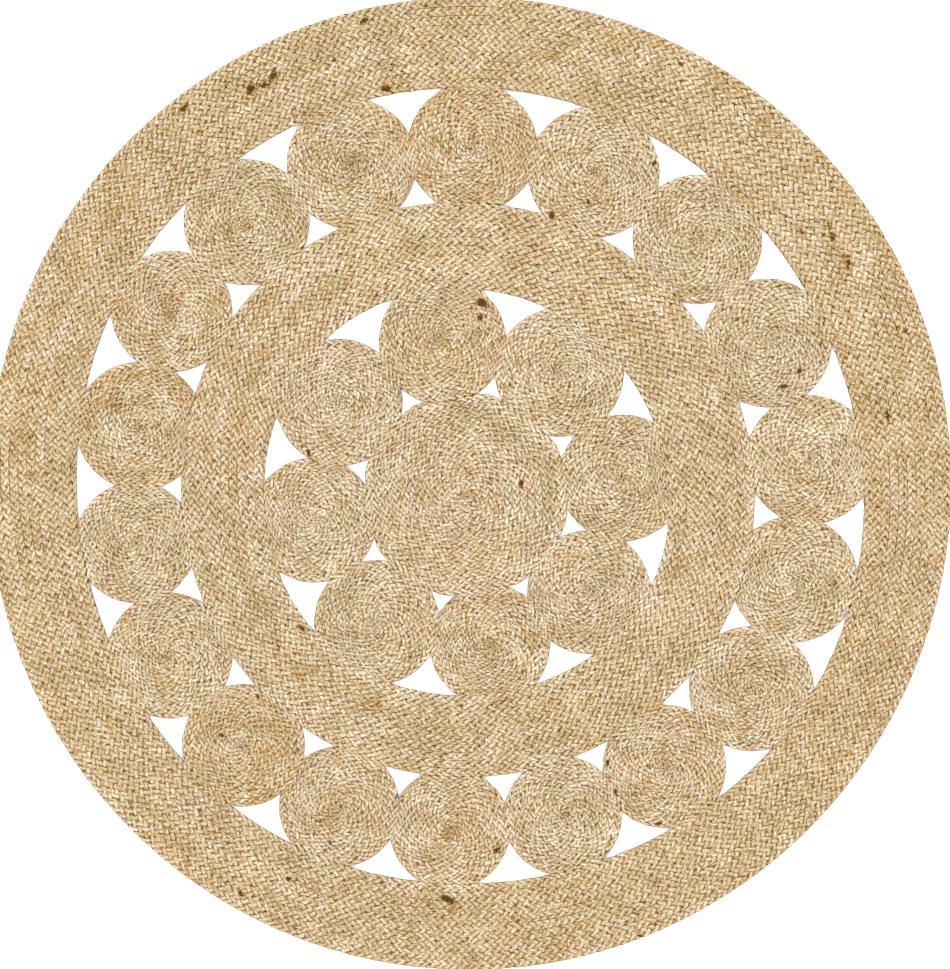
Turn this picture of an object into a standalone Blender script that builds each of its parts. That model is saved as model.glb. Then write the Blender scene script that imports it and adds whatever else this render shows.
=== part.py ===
"""A round rug, wound and sewn from one flat braid of jute.

An outer ring, a row of 18 small coils, a middle ring, a row of 8 small coils
and a larger coil at the centre lie side by side and press each other flat
where they meet. Every piece is one length of braid, wound in a flat spiral
and sewn edge to edge, so its top is ribbed. The underside lies flat.

Metres, +Z up. The origin is the middle of the rug, on the floor.
"""

import math
from collections import namedtuple

import bmesh
import bpy

# Driving dimensions, in metres.
RUG_RADIUS = 0.600
BRAID_CROWN = 0.0078  # height of the middle of a row above the floor
BRAID_GROOVE = 0.0056  # height of the seam between two rows
RIM_HEIGHT = 0.0036  # where a free edge is widest
UNDER_INSET = 0.0015  # how far the underside draws in from the rim
SEAM_GAP = 0.0003  # between neighbouring pieces

# Rounds of braid in each kind of piece.
RING_ROUNDS = 10
SMALL_COIL_TURNS = 8
CENTRE_COIL_TURNS = 13

# Facets. A turn gets one for each CHORD of its length, and at least LEAST_FACETS.
RING_CHORD = 0.066
COIL_CHORD = 0.029
LEAST_FACETS = 5
RimFacets = namedtuple("RimFacets", "inner outer")
OUTER_RING_RIMS = RimFacets(66, 72)
MIDDLE_RING_RIMS = RimFacets(48, 54)
SMALL_COIL_RIM = 24
CENTRE_COIL_RIM = 36

# How a wound braid steps out by one row.
RING_STEP = 0.12  # share of a turn in which every round of a ring shifts outward
COIL_STEP = 0.25  # the same at a coil's rim, where a coil's centre takes a whole turn
TAIL_CUT = 0.3  # share of the step that a tapered end leaves out
CENTRE_START = 0.30  # how far from a coil's middle the braid begins, in rows
FIRST_SEAM = 0.20  # where along the first turn its inner seam begins
FIRST_CROWN = 0.10  # and its crown

# Directions in which the rings' braid starts and ends, in degrees.
OUTER_RING_START = 205
MIDDLE_RING_START = 195

# Where pieces press on each other.
CORNER_SOFTNESS = 0.0007  # rounds the corner between a free arc and a pressed side
LEAST_FACING = 0.2  # cosine past which a neighbour no longer presses on a coil
REACH_TOLERANCE = 0.000001

# The four ring edges: distance from the rug's middle, with slow waves round the edge.
# Each wave is (waves in one turn, swing in mm, direction of one peak in degrees).
Edge = namedtuple("Edge", "radius waves")
Wave = namedtuple("Wave", "count swing_mm peak_deg")
OUTER_RING_OUTSIDE = Edge(RUG_RADIUS, (Wave(2, 3.0, 88),))
OUTER_RING_INSIDE = Edge(
    0.4920,
    (Wave(1, 4.4, -113), Wave(2, 5.0, -63), Wave(3, 2.3, -12), Wave(4, 2.3, -28)),
)
MIDDLE_RING_OUTSIDE = Edge(
    0.3566,
    (Wave(1, 9.2, -118), Wave(2, 2.5, -50), Wave(3, 1.7, -5), Wave(4, 0.9, -37)),
)
MIDDLE_RING_INSIDE = Edge(
    0.2533,
    (Wave(1, 13.3, -116), Wave(2, 2.7, -53), Wave(3, 2.0, -13), Wave(4, 1.7, -40)),
)

# The coils: direction from the rug's middle in degrees, distance and own radius in mm.
Coil = namedtuple("Coil", "direction_deg distance_mm radius_mm")
OUTER_COILS = (
    Coil(89.6, 416.5, 80.6),
    Coil(110.3, 422.9, 80.4),
    Coil(130.5, 426.3, 78.0),
    Coil(150.0, 427.1, 75.1),
    Coil(170.1, 415.8, 79.4),
    Coil(190.0, 420.8, 75.0),
    Coil(209.8, 429.4, 77.7),
    Coil(229.1, 429.4, 75.9),
    Coil(248.0, 432.2, 74.6),
    Coil(266.7, 428.6, 74.9),
    Coil(285.6, 428.0, 73.3),
    Coil(304.5, 425.8, 76.3),
    Coil(323.9, 431.9, 77.4),
    Coil(343.6, 419.4, 78.2),
    Coil(4.0, 423.3, 79.7),
    Coil(25.3, 408.1, 79.7),
    Coil(47.0, 413.9, 80.1),
    Coil(68.3, 415.4, 81.3),
)
INNER_COILS = (
    Coil(100.9, 180.4, 78.6),
    Coil(148.1, 190.7, 78.6),
    Coil(193.2, 198.4, 77.3),
    Coil(236.1, 207.4, 77.4),
    Coil(277.1, 201.2, 74.4),
    Coil(317.6, 199.8, 76.6),
    Coil(2.1, 189.2, 78.5),
    Coil(51.1, 176.9, 79.6),
)
CENTRE_COIL = Coil(250.0, 14.5, 128.0)

JUTE = (0.61, 0.46, 0.27, 1.0)
JUTE_ROUGHNESS = 0.85

MM = 0.001
TAU = 2 * math.pi


def clear_scene():
    for obj in list(bpy.data.objects):
        bpy.data.objects.remove(obj)


def jute_material(name):
    material = bpy.data.materials.new(name)
    material.use_nodes = True
    shader = material.node_tree.nodes["Principled BSDF"]
    shader.inputs["Base Color"].default_value = JUTE
    shader.inputs["Roughness"].default_value = JUTE_ROUGHNESS
    shader.inputs["Metallic"].default_value = 0.0
    return material


def edge_radius(edge, angle):
    """Distance of a ring's edge from the rug's middle, in the given direction."""
    radius = edge.radius
    for wave in edge.waves:
        radius += wave.swing_mm * MM * math.cos(wave.count * (angle - math.radians(wave.peak_deg)))
    return radius


def coil_centre(coil):
    angle = math.radians(coil.direction_deg)
    return coil.distance_mm * MM * math.cos(angle), coil.distance_mm * MM * math.sin(angle)


def reach_to_edge(centre, angle, edge, side, own_reach):
    """How far a coil can reach along angle, up to own_reach, before it meets a ring's edge.

    side is 1 where the coil lies inside that edge and -1 where it lies outside it.
    """

    def clearance(distance):
        x = centre[0] + distance * math.cos(angle)
        y = centre[1] + distance * math.sin(angle)
        return side * (edge_radius(edge, math.atan2(y, x)) - math.hypot(x, y)) - SEAM_GAP

    low = 0.0
    high = own_reach
    if clearance(high) >= 0:
        low = high
    while high - low > REACH_TOLERANCE:
        middle = (low + high) / 2
        if clearance(middle) >= 0:
            low = middle
        else:
            high = middle
    return low


def soft_least(lengths):
    """The least of some lengths, with the corner between two of them rounded."""
    least = min(lengths)
    share = sum(math.exp((least - length) / CORNER_SOFTNESS) for length in lengths)
    return least - CORNER_SOFTNESS * math.log(share)


def coil_outline(coil, neighbours, inside_of, outside_of):
    """A function from direction to the coil's own reach, pressed flat by what it meets."""
    centre = coil_centre(coil)
    own_reach = coil.radius_mm * MM
    sides = []
    for other in neighbours:
        x, y = coil_centre(other)
        apart = math.hypot(x - centre[0], y - centre[1])
        share = coil.radius_mm / (coil.radius_mm + other.radius_mm)
        sides.append((math.atan2(y - centre[1], x - centre[0]), apart * share - SEAM_GAP / 2))

    def reach(angle):
        lengths = [own_reach]
        for direction, distance in sides:
            facing = math.cos(angle - direction)
            if facing > LEAST_FACING:
                lengths.append(distance / facing)
        if inside_of:
            lengths.append(reach_to_edge(centre, angle, inside_of, 1, 2 * own_reach))
        if outside_of:
            lengths.append(reach_to_edge(centre, angle, outside_of, -1, 2 * own_reach))
        return soft_least(lengths)

    return reach


def smooth_step(share):
    share = min(max(share, 0.0), 1.0)
    return share * share * (3 - 2 * share)


def facet_count(length, chord):
    return max(LEAST_FACETS, round(length / chord))


def stations(first, stop, facets, phase=0.0):
    """Evenly spaced places along part of a turn, counted in turns. The stop is left out."""
    count = max(1, round(facets * (stop - first)))
    return [first + (stop - first) * (i + phase) / count for i in range(count)]


def points_along(bm, turns, start_angle, distance, height):
    """A row of (turn, vertex). The braid is wound outwards clockwise, seen from above."""
    row = []
    for turn in turns:
        angle = start_angle - turn * TAU
        reach = distance(turn)
        vert = bm.verts.new((reach * math.cos(angle), reach * math.sin(angle), height(turn)))
        row.append((turn, vert))
    return row


def seam_rise(turn):
    return BRAID_GROOVE


def rim_rise(turn):
    return RIM_HEIGHT


def crown_rise(fullness):
    """A row that tapers out is also lower."""
    return BRAID_GROOVE + (BRAID_CROWN - BRAID_GROOVE) * min(1.0, fullness)


def closing(loop):
    """The first entry of a closed loop again, one turn on."""
    turn, vert = loop[0]
    return [(turn + 1, vert)]


def shifted(row, turns):
    return [(turn + turns, vert) for turn, vert in row]


def join_rows(bm, lower, upper):
    """Fills the strip between two rows of (turn, vertex), both in order of turn."""
    i = j = 0
    while i + 1 < len(lower) or j + 1 < len(upper):
        upper_is_done = j + 1 == len(upper)
        if upper_is_done or (i + 1 < len(lower) and lower[i + 1][0] <= upper[j + 1][0]):
            bm.faces.new((lower[i][1], upper[j][1], lower[i + 1][1]))
            i += 1
        else:
            bm.faces.new((lower[i][1], upper[j][1], upper[j + 1][1]))
            j += 1


def braid_top(bm, seam, rim, crown):
    """The two slopes of every row of braid, from its seams and its crown.

    The outer side of a row is the seam one turn on, or the rim for the last row.
    """
    outer_seam = [entry for entry in seam + rim + closing(rim) if entry[0] >= 1]
    join_rows(bm, seam + rim[:1], crown)
    join_rows(bm, crown, shifted(outer_seam, -1))


def free_side(bm, rim, inset):
    """The side below a rim. Returns the edge of the underside, drawn in by inset."""
    foot = []
    for turn, vert in rim:
        reach = math.hypot(vert.co.x, vert.co.y)
        share = 1 - inset / reach
        foot.append((turn, bm.verts.new((vert.co.x * share, vert.co.y * share, 0.0))))
    join_rows(bm, rim + closing(rim), foot + closing(foot))
    return foot


def finish_piece(bm, name, centre):
    bmesh.ops.recalc_face_normals(bm, faces=bm.faces)
    mesh = bpy.data.meshes.new(name)
    bm.to_mesh(mesh)
    bm.free()
    mesh.materials.append(jute_material(name + "_jute"))
    piece = bpy.data.objects.new(name, mesh)
    piece.location = (centre[0], centre[1], 0.0)
    bpy.context.scene.collection.objects.link(piece)


def make_coil(name, coil, turns, rim_facets, outline):
    """A flat coil. The braid starts at the middle, and its end tapers out at the rim."""
    row_width = coil.radius_mm * MM / turns
    end_angle = math.radians(coil.direction_deg) + math.pi

    def seam_reach(turn):
        edge = outline(end_angle - turn * TAU)
        if turn >= turns:
            return edge
        whole = int(turn)
        step = 1 + (COIL_STEP - 1) * whole / (turns - 1)
        rows = whole + smooth_step((turn - whole - 1 + step) / step)
        if whole == 0:
            rows = CENTRE_START + turn * (1 - CENTRE_START)
        pressed = edge / (row_width * turns) - 1
        return row_width * rows * (1 + pressed * rows / turns)

    def crown_reach(turn):
        return (seam_reach(turn) + seam_reach(turn + 1)) / 2

    def row_rise(turn):
        return crown_rise((seam_reach(turn + 1) - seam_reach(turn)) / row_width)

    seam_turns = []
    crown_turns = []
    for whole in range(turns):
        facets = facet_count(TAU * row_width * (whole + 0.5), COIL_CHORD)
        first = whole if whole else FIRST_SEAM
        last = whole + 1 if whole + 1 < turns else turns - TAIL_CUT * COIL_STEP
        seam_turns += stations(first, whole + 1, facets)
        crown_turns += stations(whole if whole else FIRST_CROWN, last, facets, 0.5 if whole else 0.0)

    bm = bmesh.new()
    rim_turns = stations(turns, turns + 1, rim_facets)
    seam = points_along(bm, seam_turns, end_angle, seam_reach, seam_rise)
    rim = points_along(bm, rim_turns, end_angle, seam_reach, rim_rise)
    crown = points_along(bm, crown_turns, end_angle, crown_reach, row_rise)
    braid_top(bm, seam, rim, crown)
    middle = bm.verts.new((0.0, 0.0, BRAID_CROWN))
    around = [entry for entry in seam if entry[0] <= 1] + shifted(crown[:1], 1)
    join_rows(bm, [(0, middle)], around + closing(around))
    foot = free_side(bm, rim, UNDER_INSET)
    bm.faces.new([vert for _, vert in foot])
    finish_piece(bm, name, coil_centre(coil))


def make_ring(name, inside, outside, rim_facets, start_deg):
    """A flat ring: rounds of braid that all step out by one row near start_deg."""
    start_angle = math.radians(start_deg)
    last_turn = RING_ROUNDS + RING_STEP
    row_width = (outside.radius - inside.radius) / RING_ROUNDS

    def seam_reach(turn):
        angle = start_angle - turn * TAU
        # The inner rim's facets touch the true edge at their middles, so they stay off what lies inside.
        inner = edge_radius(inside, angle) / math.cos(math.pi / rim_facets.inner)
        outer = edge_radius(outside, angle)
        whole = int(turn - 1)
        rows = whole + smooth_step((turn - 1 - whole) / RING_STEP)
        if turn <= 1:
            rows = 0
        if turn >= last_turn:
            rows = RING_ROUNDS
        return inner + (outer - inner) * rows / RING_ROUNDS

    def crown_reach(turn):
        return (seam_reach(turn) + seam_reach(turn + 1)) / 2

    def row_rise(turn):
        return crown_rise((seam_reach(turn + 1) - seam_reach(turn)) / row_width)

    seam_turns = []
    crown_turns = []
    for whole in range(RING_ROUNDS + 1):
        facets = facet_count(TAU * (inside.radius + row_width * (whole + 0.5)), RING_CHORD)
        first = whole if whole else TAIL_CUT * RING_STEP
        last = whole + 1 if whole < RING_ROUNDS else last_turn - TAIL_CUT * RING_STEP
        crown_turns += stations(first, last, facets, 0.5 if whole else 0.0)
        if whole:
            seam_turns += stations(whole, min(whole + 1, last_turn), facets)

    bm = bmesh.new()
    inner_turns = stations(0, 1, rim_facets.inner)
    outer_turns = stations(last_turn, last_turn + 1, rim_facets.outer)
    inner_rim = points_along(bm, inner_turns, start_angle, seam_reach, rim_rise)
    outer_rim = points_along(bm, outer_turns, start_angle, seam_reach, rim_rise)
    seam = points_along(bm, seam_turns[1:], start_angle, seam_reach, seam_rise)
    crown = points_along(bm, crown_turns, start_angle, crown_reach, row_rise)
    braid_top(bm, inner_rim + closing(inner_rim) + seam, outer_rim, crown)
    inner_foot = free_side(bm, inner_rim, -UNDER_INSET)
    outer_foot = shifted(free_side(bm, outer_rim, UNDER_INSET), -RING_ROUNDS)
    past_start = [entry for entry in outer_foot if entry[0] >= 1]
    outer_foot = shifted(past_start, -1) + [entry for entry in outer_foot if entry[0] < 1]
    join_rows(bm, inner_foot + closing(inner_foot), outer_foot + closing(outer_foot))
    finish_piece(bm, name, (0.0, 0.0))


def make_coil_row(stem, coils, ring_outside, ring_inside, middle_coil):
    """A closed row of small coils, each pressed against its neighbours and the rings."""
    for number, coil in enumerate(coils):
        neighbours = [coils[number - 1], coils[(number + 1) % len(coils)]]
        if middle_coil:
            neighbours.append(middle_coil)
        outline = coil_outline(coil, neighbours, ring_outside, ring_inside)
        name = f"{stem}_{number + 1:02d}"
        make_coil(name, coil, SMALL_COIL_TURNS, SMALL_COIL_RIM, outline)


def main():
    clear_scene()
    make_ring("outer_ring", OUTER_RING_INSIDE, OUTER_RING_OUTSIDE, OUTER_RING_RIMS, OUTER_RING_START)
    make_ring("middle_ring", MIDDLE_RING_INSIDE, MIDDLE_RING_OUTSIDE, MIDDLE_RING_RIMS, MIDDLE_RING_START)
    make_coil_row("outer_coil", OUTER_COILS, OUTER_RING_INSIDE, MIDDLE_RING_OUTSIDE, None)
    make_coil_row("inner_coil", INNER_COILS, MIDDLE_RING_INSIDE, None, CENTRE_COIL)
    centre_outline = coil_outline(CENTRE_COIL, INNER_COILS, None, None)
    make_coil("centre_coil", CENTRE_COIL, CENTRE_COIL_TURNS, CENTRE_COIL_RIM, centre_outline)


main()
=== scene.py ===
"""The looks of a round rug, wound and sewn from one flat three-strand braid of jute.

Each ring and coil is the braid itself: three thick strands that cross over and under
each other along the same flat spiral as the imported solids. Metres, +Z up. The origin
is the middle of the rug, on the floor.
"""

import math
from collections import namedtuple
from functools import partial

import bmesh
import bpy
import numpy as np
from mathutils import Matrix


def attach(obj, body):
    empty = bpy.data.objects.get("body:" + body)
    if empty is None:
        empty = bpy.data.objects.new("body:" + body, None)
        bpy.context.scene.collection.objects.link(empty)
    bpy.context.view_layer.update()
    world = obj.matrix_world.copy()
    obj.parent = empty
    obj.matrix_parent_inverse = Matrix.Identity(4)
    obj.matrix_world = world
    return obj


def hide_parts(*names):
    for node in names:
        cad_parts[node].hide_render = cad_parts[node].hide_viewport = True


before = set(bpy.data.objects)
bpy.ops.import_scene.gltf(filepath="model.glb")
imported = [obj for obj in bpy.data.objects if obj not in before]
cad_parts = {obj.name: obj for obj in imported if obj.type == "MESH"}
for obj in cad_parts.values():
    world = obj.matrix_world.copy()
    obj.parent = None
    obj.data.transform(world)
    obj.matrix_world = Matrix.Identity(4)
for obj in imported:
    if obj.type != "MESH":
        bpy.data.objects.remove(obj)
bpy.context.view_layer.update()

bl_info = {
    "name": "Round jute rug",
    "version": (1, 0, 0),
    "blender": (4, 5, 0),
    "location": "View3D > Sidebar > Rug",
    "description": "Braids the rings and coils of a round jute rug and lights it",
    "category": "Add Mesh",
}

MM = 0.001
TAU = 2 * math.pi
BODY = "root"

# The plan, in metres, as the solids have it.
SEAM_GAP = 0.0003  # between neighbouring pieces
CORNER_SOFTNESS = 0.0007  # rounds the corner between a free arc and a pressed side
LEAST_FACING = 0.2  # cosine past which a neighbour no longer presses on a coil
RING_ROUNDS = 10
SMALL_COIL_TURNS = 8
CENTRE_COIL_TURNS = 13
RING_STEP = 0.12  # share of a turn in which every round of a ring shifts outward
COIL_STEP = 0.25  # the same at a coil's rim, where a coil's centre takes a whole turn
TAIL_CUT = 0.3  # share of the step that a tapered end leaves out
CENTRE_START = 0.30  # how far from a coil's middle the braid begins, in rows
COIL_FIRST_TURN = -0.8  # the braid's first end curls in to the very middle
TIGHT_TURNS = 4.5  # the first turns of a coil, plaited tighter
TIGHTNESS = 0.35  # how much shorter the very first lumps are
OUTER_RING_START = 205  # directions in which the rings' rounds step out, in degrees
MIDDLE_RING_START = 195
OUTER_RING_SPLIT = 0.27  # rounds past the middle one where the outer ring's two lengths meet

# The rings' edges: distance from the rug's middle, with slow waves round the edge.
Edge = namedtuple("Edge", "radius waves")
Wave = namedtuple("Wave", "count swing_mm peak_deg")
OUTER_RING_OUTSIDE = Edge(0.600, (Wave(2, 3.0, 88),))
OUTER_RING_INSIDE = Edge(
    0.4920,
    (Wave(1, 4.4, -113), Wave(2, 5.0, -63), Wave(3, 2.3, -12), Wave(4, 2.3, -28)),
)
MIDDLE_RING_OUTSIDE = Edge(
    0.3566,
    (Wave(1, 9.2, -118), Wave(2, 2.5, -50), Wave(3, 1.7, -5), Wave(4, 0.9, -37)),
)
MIDDLE_RING_INSIDE = Edge(
    0.2533,
    (Wave(1, 13.3, -116), Wave(2, 2.7, -53), Wave(3, 2.0, -13), Wave(4, 1.7, -40)),
)

# The coils: direction and distance of each middle from the rug's, and the free radius.
Coil = namedtuple("Coil", "direction_deg distance_mm radius_mm")
OUTER_COILS = (
    Coil(89.6, 416.5, 80.6),
    Coil(110.3, 422.9, 80.4),
    Coil(130.5, 426.3, 78.0),
    Coil(150.0, 427.1, 75.1),
    Coil(170.1, 415.8, 79.4),
    Coil(190.0, 420.8, 75.0),
    Coil(209.8, 429.4, 77.7),
    Coil(229.1, 429.4, 75.9),
    Coil(248.0, 432.2, 74.6),
    Coil(266.7, 428.6, 74.9),
    Coil(285.6, 428.0, 73.3),
    Coil(304.5, 425.8, 76.3),
    Coil(323.9, 431.9, 77.4),
    Coil(343.6, 419.4, 78.2),
    Coil(4.0, 423.3, 79.7),
    Coil(25.3, 408.1, 79.7),
    Coil(47.0, 413.9, 80.1),
    Coil(68.3, 415.4, 81.3),
)
INNER_COILS = (
    Coil(100.9, 180.4, 78.6),
    Coil(148.1, 190.7, 78.6),
    Coil(193.2, 198.4, 77.3),
    Coil(236.1, 207.4, 77.4),
    Coil(277.1, 201.2, 74.4),
    Coil(317.6, 199.8, 76.6),
    Coil(2.1, 189.2, 78.5),
    Coil(51.1, 176.9, 79.6),
)
CENTRE_COIL = Coil(250.0, 14.5, 128.0)

# Dark brown flecks in the yarn: place in the plan, half length, half width and direction
# of the length.
Fleck = namedtuple("Fleck", "x_mm y_mm long_mm wide_mm turn_deg")
FLECK_ROWS = (
    (-272, 489, 6.0, 4.0, 60),
    (-244, 505, 6.0, 3.5, 45),
    (15, 224, 5.5, 4.0, 150),
    (-27, -516, 8.0, 3.0, 155),
    (-131, 574, 5.0, 3.0, 30),
    (469, 274, 6.5, 2.5, 100),
    (-254, 494, 5.0, 2.5, 10),
    (-104, 490, 4.5, 3.5, 170),
    (-355, 465, 5.0, 2.5, 40),
    (102, 333, 4.0, 3.0, 90),
    (64, 0, 4.5, 2.5, 95),
    (389, 120, 5.5, 2.0, 15),
    (446, 319, 4.5, 2.0, 120),
    (34, -454, 4.0, 2.5, 45),
    (518, 84, 6.0, 2.0, 95),
    (-209, -179, 4.5, 2.0, 130),
    (-284, -508, 3.5, 2.5, 135),
    (262, 520, 3.5, 2.0, 145),
    (-200, 37, 4.5, 2.0, 115),
    (-309, -313, 3.5, 2.5, 25),
    (409, 140, 3.0, 2.5, 30),
    (210, -560, 3.0, 2.0, 0),
    (181, -383, 4.0, 2.0, 105),
    (13, 206, 3.0, 2.5, 120),
    (234, -422, 3.5, 2.0, 15),
    (229, 397, 3.0, 2.5, 20),
    (147, 349, 3.5, 2.0, 145),
    (-225, -490, 3.5, 2.0, 0),
    (-279, -300, 4.0, 1.5, 130),
    (531, 193, 3.0, 2.0, 0),
    (171, -346, 3.0, 2.0, 70),
    (-263, -265, 3.0, 2.0, 110),
    (-117, 233, 3.5, 1.5, 40),
    (450, 305, 3.5, 2.5, 100),
    (412, 313, 4.0, 1.5, 120),
)
# Honey coloured spots, given in the same way.
SPOT_ROWS = (
    (-150, 405, 9.0, 6.5, 150),
    (-23, -434, 8.0, 5.5, 20),
    (-195, -500, 7.0, 4.0, 40),
    (-302, 316, 6.0, 5.0, 60),
    (-371, 219, 11.0, 7.0, 75),
    (-179, -415, 10.0, 7.0, 30),
    (-17, -531, 6.0, 4.0, 0),
    (-149, 480, 6.0, 4.0, 10),
    (-423, -166, 6.0, 5.0, 90),
    (4, 431, 8.0, 5.0, 120),
    (41, 176, 5.0, 4.0, 90),
    (-21, -147, 6.0, 4.0, 0),
    (178, 27, 6.0, 5.0, 45),
    (-444, 101, 6.0, 5.0, 30),
    (103, 531, 6.0, 3.5, 10),
    (194, -335, 6.0, 4.0, 60),
)
FLECKS = [Fleck(*row) for row in FLECK_ROWS]
SPOTS = [Fleck(*row) for row in SPOT_ROWS]
SPOT_SHARE = 0.3  # a spot is this much of a fleck at most, which only browns the yarn
FLECK_SPREAD = 2.2  # a fleck fades out at this many times its own reach

# Coils of browner and of paler jute than the rest.
BROWN_COILS = (
    "outer_coil_01 outer_coil_05 outer_coil_07 outer_coil_08 outer_coil_09 outer_coil_10 "
    "outer_coil_12 inner_coil_01 inner_coil_05"
).split()
PALE_COILS = (
    "outer_coil_06 outer_coil_14 outer_coil_15 outer_coil_16 outer_coil_17 inner_coil_02 "
    "inner_coil_04 inner_coil_08"
).split()

# How finely the outlines and the braid's middle line are worked out.
OUTLINE_STEPS = 1440
BISECTIONS = 24
PATH_STEPS = 240  # places on the middle line in one turn

# A strand goes from edge to edge of its row in nearly straight lines. Each half cycle has
# three rings of points where it lies on top and one where it dips under.
STRANDS = 3
RING_PHASES = np.radians((-80, -45, -10, 45))
STRAIGHTNESS = 0.94
WAVE_FULLNESS = 1.5  # more than 1 keeps a strand at its full height for longer
TURN_SHARPNESS = 3
LEAST_RISE = 0.55  # height of a row that tapers to nothing, as a share of a full row's
# The points of a ring, as shares of the strand's half width and half depth.
SECTION_OVER = np.array([(0, 1), (-0.84, 0.86), (-1, -0.1), (1, -0.1), (0.84, 0.86)])
SECTION_UNDER = np.array([(0, 1), (-1, 0.15), (-0.62, -0.9), (0.62, -0.9), (1, 0.15)])

# A lump is what shows of a strand between two dips. Its first one starts this far before
# the first ring, and the last part of its length blends into the next lump.
LUMP_START = 0.75
LUMP_HELD = 0.7
SPARE_LUMPS = 8
# How much the lumps differ in place along the braid (in metres), in place across it and in
# width (of half the row), in height (of the lift), in depth and in roll.
ALONG_VARIES = 0.0008
ACROSS_VARIES = 0.08
HEIGHT_VARIES = 0.15
WIDTH_VARIES = 0.08
DEPTH_VARIES = 0.05
ROLL_VARIES = 0.12

LEAST_HEIGHT = 0.0001  # the lowest that a strand lies above the floor
LAP = 0.0006  # how far neighbouring rows press into each other
RIM_INSET = 0.0001  # how far the outermost rows draw in, so that their strands end at the rim
CONTACT_LAP = 0.0013  # how far a coil's last row presses into what it meets
PRESS_FADE = 0.0015  # how much a coil is pressed in where that lap is whole
RIM_GIVE = 0.35  # how much of what would stand out past a rim still does
WIDEST_ROOM = 0.05  # the room beside a row that has no rim beside it
SPACING_DRIFT = 0.10  # how much the spacing of the lumps drifts, and over what run
SPACING_RUN = 0.05

# What each point of a strand carries for its colour: two tones of its lump, how far it lies
# in a fleck, and its place across the row, 1 or -1 at a seam with another row.
TONES = ("tone", "second_tone", "fleck", "row")
# The tone is higher where the yarn is paler, and the second one where it is warmer. Both
# differ from lump to lump, wander along each strand, and drift along the whole braid.
TONE_VARIES = 0.33
TONE_WANDERS = 0.4
TONE_RUN = 0.06
SECOND_VARIES = 0.6
SECOND_WANDERS = 0.6
SECOND_RUN = 0.04
YARN_RUN = 0.5  # how far along the braid its yarn keeps one colour
TONE_DRIFT = 0.9
HUE_DRIFT = 0.6
OUTER_PALENESS = -0.7
MIDDLE_PALENESS = 0.2
COIL_PALENESS = 1.3
TINT_DARKENS = 0.2  # how much a brown coil is darker, and how much it is warmer
TINT_WARMS = 0.7
MIDDLE_WARMTH = 1.6  # how warm a coil's very middle is, and the turn at which that ends
MIDDLE_WARM_TURN = 0.6
END_WARMTH = 0.7  # how warm the last end of a braid is
RIM_ROOM = 1.5  # less room beside it than this share of half the row means a rim
RIM_ROW = 0.5  # keeps a row's place away from 1 at a rim, where there is no seam

# The web of sewing inside the braid, seen between the strands and coloured dark as painted shade.
WEB_LOW = 0.0016
WEB_THICK = 0.0034
WEB_INSET = 0.0004
COIL_WEB_FACETS = 72
RING_WEB_FACETS = 180

SEEDS = {
    "outer_ring": 11,
    "middle_ring": 12,
    "outer_coil": 100,
    "inner_coil": 200,
    "centre_coil": 300,
}

# The jute's pattern. A Noise is a noise texture, its scale per metre, and a Ramp eases a
# value that goes from low to high into a share that goes from least to most.
Noise = namedtuple("Noise", "scale detail roughness")
Ramp = namedtuple("Ramp", "low high least most", defaults=(0.0, 1.0))
TONE_RAMP = Ramp(-2.2, 2.2)
# Patches of another hue: how far their noise is shifted, how much the second tone and the
# broad noise add to it, and how much of the hue there is at most.
Patch = namedtuple("Patch", "hue shift with_tone with_broad most")
PATCHES = (
    Patch("grey", 3.0, -0.07, -0.4, 0.65),
    Patch("pink", 11.0, -0.05, 0.0, 0.70),
    Patch("honey", 0.0, 0.08, 0.3, 0.60),
)
PATCH_NOISE = Noise(45.0, 4.0, 0.7)
PATCH_FROM = 0.50
PATCH_TO = 0.68
BROAD_NOISE = Noise(4.0, 1.0, 0.5)
STAIN_NOISE = Noise(26.0, 3.0, 0.75)
STAIN_WITH_TONE = 0.05
STAIN_RAMP = Ramp(0.70, 0.82, 0.0, 0.8)
KNOT_NOISE = Noise(130.0, 3.0, 0.75)
KNOT_RAMP = Ramp(0.56, 0.66, 0.0, 0.9)
DARK_KNOT_NOISE = Noise(240.0, 3.0, 0.7)
DARK_KNOT_RAMP = Ramp(0.63, 0.68, 0.0, 0.9)
# Light and dark in the yarn, on top of its streaks, with painted glints from the fine speckle and from the
# bright end of the ramp.
GLINT_SPECKLE_NOISE = Noise(640.0, 1.0, 0.5)
GLINT_SPECKLE_SHARE = 0.7
FIBRE_SHARE = 0.4
CLOUD_NOISE = Noise(24.0, 1.0, 0.5)
CLOUD_SHARE = 0.24
SHADE_RAMP = Ramp(0.99, 1.38)
# The flecks' ragged edges and the brown round them.
RAGGED_NOISE = Noise(300.0, 2.0, 0.6)
RAGGED_GAIN = 2.8
HALO_RAGGED = 0.4
HALO_RAMP = Ramp(0.02, 0.6, 0.0, 0.8)
FLECK_GAIN = 2.5
FLECK_RAMP = Ramp(0.42, 0.80, 0.0, 0.95)
# Round a strand, from its crest at 1 to its underside at -1: where painted shade browns its shoulders and
# where darker painted shade covers its sides, heavier in some places than in others.
SIDE_WITH_STREAKS = -0.5
SHOULDER_SHADE_RAMP = Ramp(0.72, 0.34)
SHOULDER_SHADE_SHARE = 0.22
SIDE_SHADE_RAMP = Ramp(0.48, 0.14)
SIDE_SHADE_PATCH_NOISE = Noise(110.0, 2.0, 0.6)
SIDE_SHADE_PATCH_RAMP = Ramp(0.34, 0.60, 0.40, 1.0)
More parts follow.
